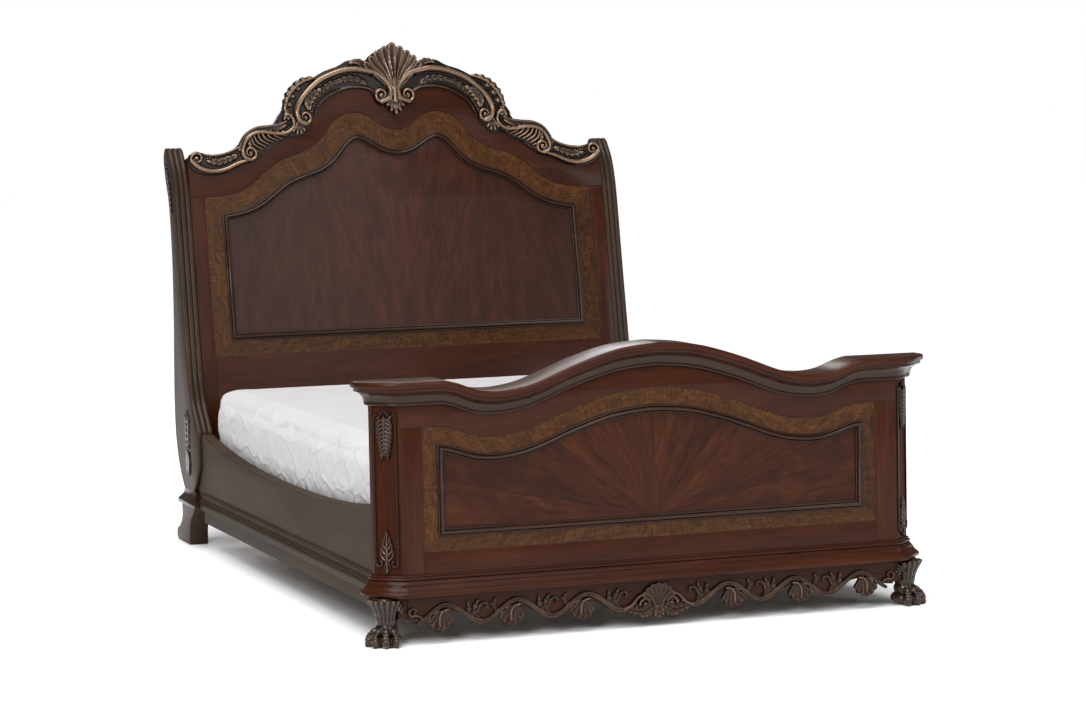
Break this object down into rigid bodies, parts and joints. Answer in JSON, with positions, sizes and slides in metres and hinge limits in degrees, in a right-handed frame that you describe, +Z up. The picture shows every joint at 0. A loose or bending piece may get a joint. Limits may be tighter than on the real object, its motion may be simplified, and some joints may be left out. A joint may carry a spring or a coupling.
{
  "type": "sleigh bed",
  "caption": "Carved sleigh bed with a tall leaning shell-crested headboard, low arched panelled footboard, paw feet, side rails, slats and a fitted mattress.",
  "frame": {"origin": "centre of the bed's bounding box, on the floor", "axes": "+X across the bed to the right seen from the foot, +Y from the footboard to the headboard, +Z up"},
  "size_m": [1.748, 2.56, 1.7262],
  "materials": {
    "mahogany": "satin lacquer over red-brown stained mahogany",
    "dark_mahogany": "satin lacquer over dark stained mouldings",
    "rail_mahogany": "satin lacquer over dark brown stain",
    "flame_mahogany": "polished lacquer over matched crotch veneer",
    "ash_veneer": "polished lacquer over cross-grain burl ash veneer",
    "carved_gilt": "antique bronze highlights rubbed over dark stain",
    "secondary_wood": "unfinished softwood and plywood",
    "zinc_steel": "zinc plated",
    "mattress_cover": "thin white non-woven cover over quilted ticking"
  },
  "bodies": {
    "bed_frame": {"headboard_post_left": "mahogany", "headboard_post_right": "mahogany", "post_collar_left": "dark_mahogany", "post_collar_right": "dark_mahogany", "scroll_foot_left": "mahogany", "scroll_foot_right": "mahogany", "post_carvings": "carved_gilt", "headboard_top_rail": "mahogany", "headboard_stile_left": "mahogany", "headboard_stile_right": "mahogany", "headboard_bottom_rail": "mahogany", "headboard_veneer_band": "ash_veneer", "headboard_panel_moulding": "dark_mahogany", "headboard_centre_panel": "flame_mahogany", "headboard_back_panel": "secondary_wood", "crest_arm_left": "carved_gilt", "crest_arm_right": "carved_gilt", "crest_arch_left": "carved_gilt", "crest_arch_right": "carved_gilt", "crest_shell": "carved_gilt", "footboard_pilaster_left": "mahogany", "footboard_pilaster_right": "mahogany", "pilaster_carvings": "carved_gilt", "footboard_top_rail": "mahogany", "footboard_stile_left": "mahogany", "footboard_stile_right": "mahogany", "footboard_bottom_rail": "mahogany", "footboard_veneer_band": "ash_veneer", "footboard_panel_moulding": "dark_mahogany", "footboard_centre_panel": "flame_mahogany", "footboard_back_panel": "secondary_wood", "footboard_cornice": "mahogany", "footboard_bed_moulding": "dark_mahogany", "footboard_base_moulding": "mahogany", "footboard_apron": "mahogany", "apron_vine_left": "carved_gilt", "apron_vine_right": "carved_gilt", "apron_shell": "carved_gilt", "paw_foot_left": "mahogany", "paw_foot_right": "mahogany", "side_rail_left": "rail_mahogany", "side_rail_right": "rail_mahogany", "rail_moulding_left": "rail_mahogany", "rail_moulding_right": "rail_mahogany", "slat_ledger_left": "secondary_wood", "slat_ledger_right": "secondary_wood", "rail_hook_plates": "zinc_steel", "rail_catch_plates": "zinc_steel", "wood_screws": "zinc_steel", "slat_1": "secondary_wood", "slat_2": "secondary_wood", "slat_3": "secondary_wood", "slat_4": "secondary_wood", "slat_5": "secondary_wood", "centre_legs": "secondary_wood", "mattress": "mattress_cover"},
    "leveller_1": {"leveller_1": "zinc_steel"},
    "leveller_2": {"leveller_2": "zinc_steel"},
    "leveller_3": {"leveller_3": "zinc_steel"}
  },
  "joints": [
    {"name": "leveller_1_slide", "type": "slide", "parent": "bed_frame", "child": "leveller_1", "axis": [0, 0, 1], "range_m": [0, 0.012]},
    {"name": "leveller_2_slide", "type": "slide", "parent": "bed_frame", "child": "leveller_2", "axis": [0, 0, 1], "range_m": [0, 0.012]},
    {"name": "leveller_3_slide", "type": "slide", "parent": "bed_frame", "child": "leveller_3", "axis": [0, 0, 1], "range_m": [0, 0.012]}
  ]
}
